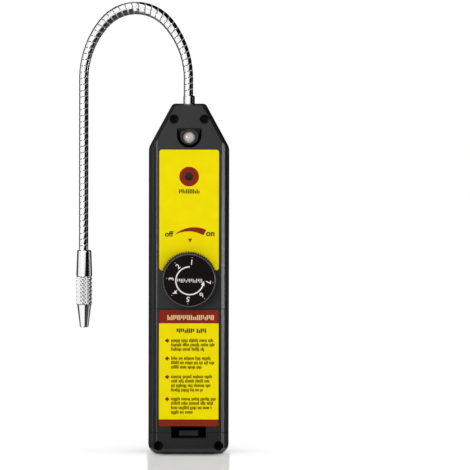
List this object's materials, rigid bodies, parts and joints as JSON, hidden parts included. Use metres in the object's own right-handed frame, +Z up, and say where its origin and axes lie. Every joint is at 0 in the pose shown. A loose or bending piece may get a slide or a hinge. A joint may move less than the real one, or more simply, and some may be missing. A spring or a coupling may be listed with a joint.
{
  "type": "refrigerant leak detector",
  "caption": "Hand-held refrigerant leak detector: slim black case with yellow labels, sensitivity knob, alarm lamp, battery door and a chromed gooseneck probe.",
  "frame": {"origin": "middle of the case's flat base", "axes": "+Z up along the case, the front with the knob faces -Y, +X to the right seen from the front"},
  "size_m": [0.0876, 0.04, 0.2573],
  "materials": {
    "case_black": "fine-grained moulded black plastic",
    "label_yellow": "printed yellow film",
    "knob_black": "moulded black plastic",
    "dial_black": "printed black film",
    "neck_chrome": "bright plated",
    "screw_steel": "zinc plated",
    "lens_clear": "clear moulded lens",
    "led_red": "tinted epoxy",
    "component_black": "moulded",
    "capacitor_blue": "shrink sleeve",
    "resistor_tan": "lacquered",
    "board_green": "solder mask",
    "battery_can": "lacquered can",
    "lead_red": "insulation",
    "lead_grey": "insulation",
    "sensor_ceramic": "glazed"
  },
  "bodies": {
    "case": {"front_shell": "case_black", "rear_shell": "case_black", "front_label": "label_yellow", "case_screws": "screw_steel", "potentiometer": "screw_steel", "alarm_lens": "lens_clear", "alarm_led": "led_red", "buzzer": "component_black", "main_board": "board_green", "board_screws": "screw_steel", "hv_transformer": "component_black", "capacitors": "capacitor_blue", "control_chips": "component_black", "transistor": "component_black", "resistors": "resistor_tan", "battery": "battery_can", "battery_snap": "component_black", "battery_leads": "lead_red", "neck_ferrule": "neck_chrome", "sensor_leads": "lead_grey", "gooseneck": "neck_chrome"},
    "knob": {"knob": "knob_black", "dial_plate": "dial_black", "pot_shaft": "screw_steel"},
    "door": {"battery_door": "case_black", "door_label": "label_yellow"},
    "probe": {"probe_sleeve": "neck_chrome", "sensor_element": "sensor_ceramic"},
    "tip": {"sensing_tip": "neck_chrome"}
  },
  "joints": [
    {"name": "knob_turn", "type": "hinge", "parent": "case", "child": "knob", "pos_m": [0, -0.0165, 0.0995], "axis": [0, 1, 0], "range_deg": [-36, 266]},
    {"name": "door_hinge", "type": "hinge", "parent": "case", "child": "door", "pos_m": [0, -0.0165, 0.083], "axis": [-1, 0, 0], "range_deg": [0, 70]},
    {"name": "neck_bend", "type": "hinge", "parent": "case", "child": "probe", "pos_m": [-0.03, 0, 0.25467], "axis": [0, 1, 0], "range_deg": [-8, 60], "deforming": ["gooseneck"]},
    {"name": "tip_draw", "type": "slide", "parent": "probe", "child": "tip", "axis": [0, 0, -1], "range_m": [0, 0.02]}
  ]
}
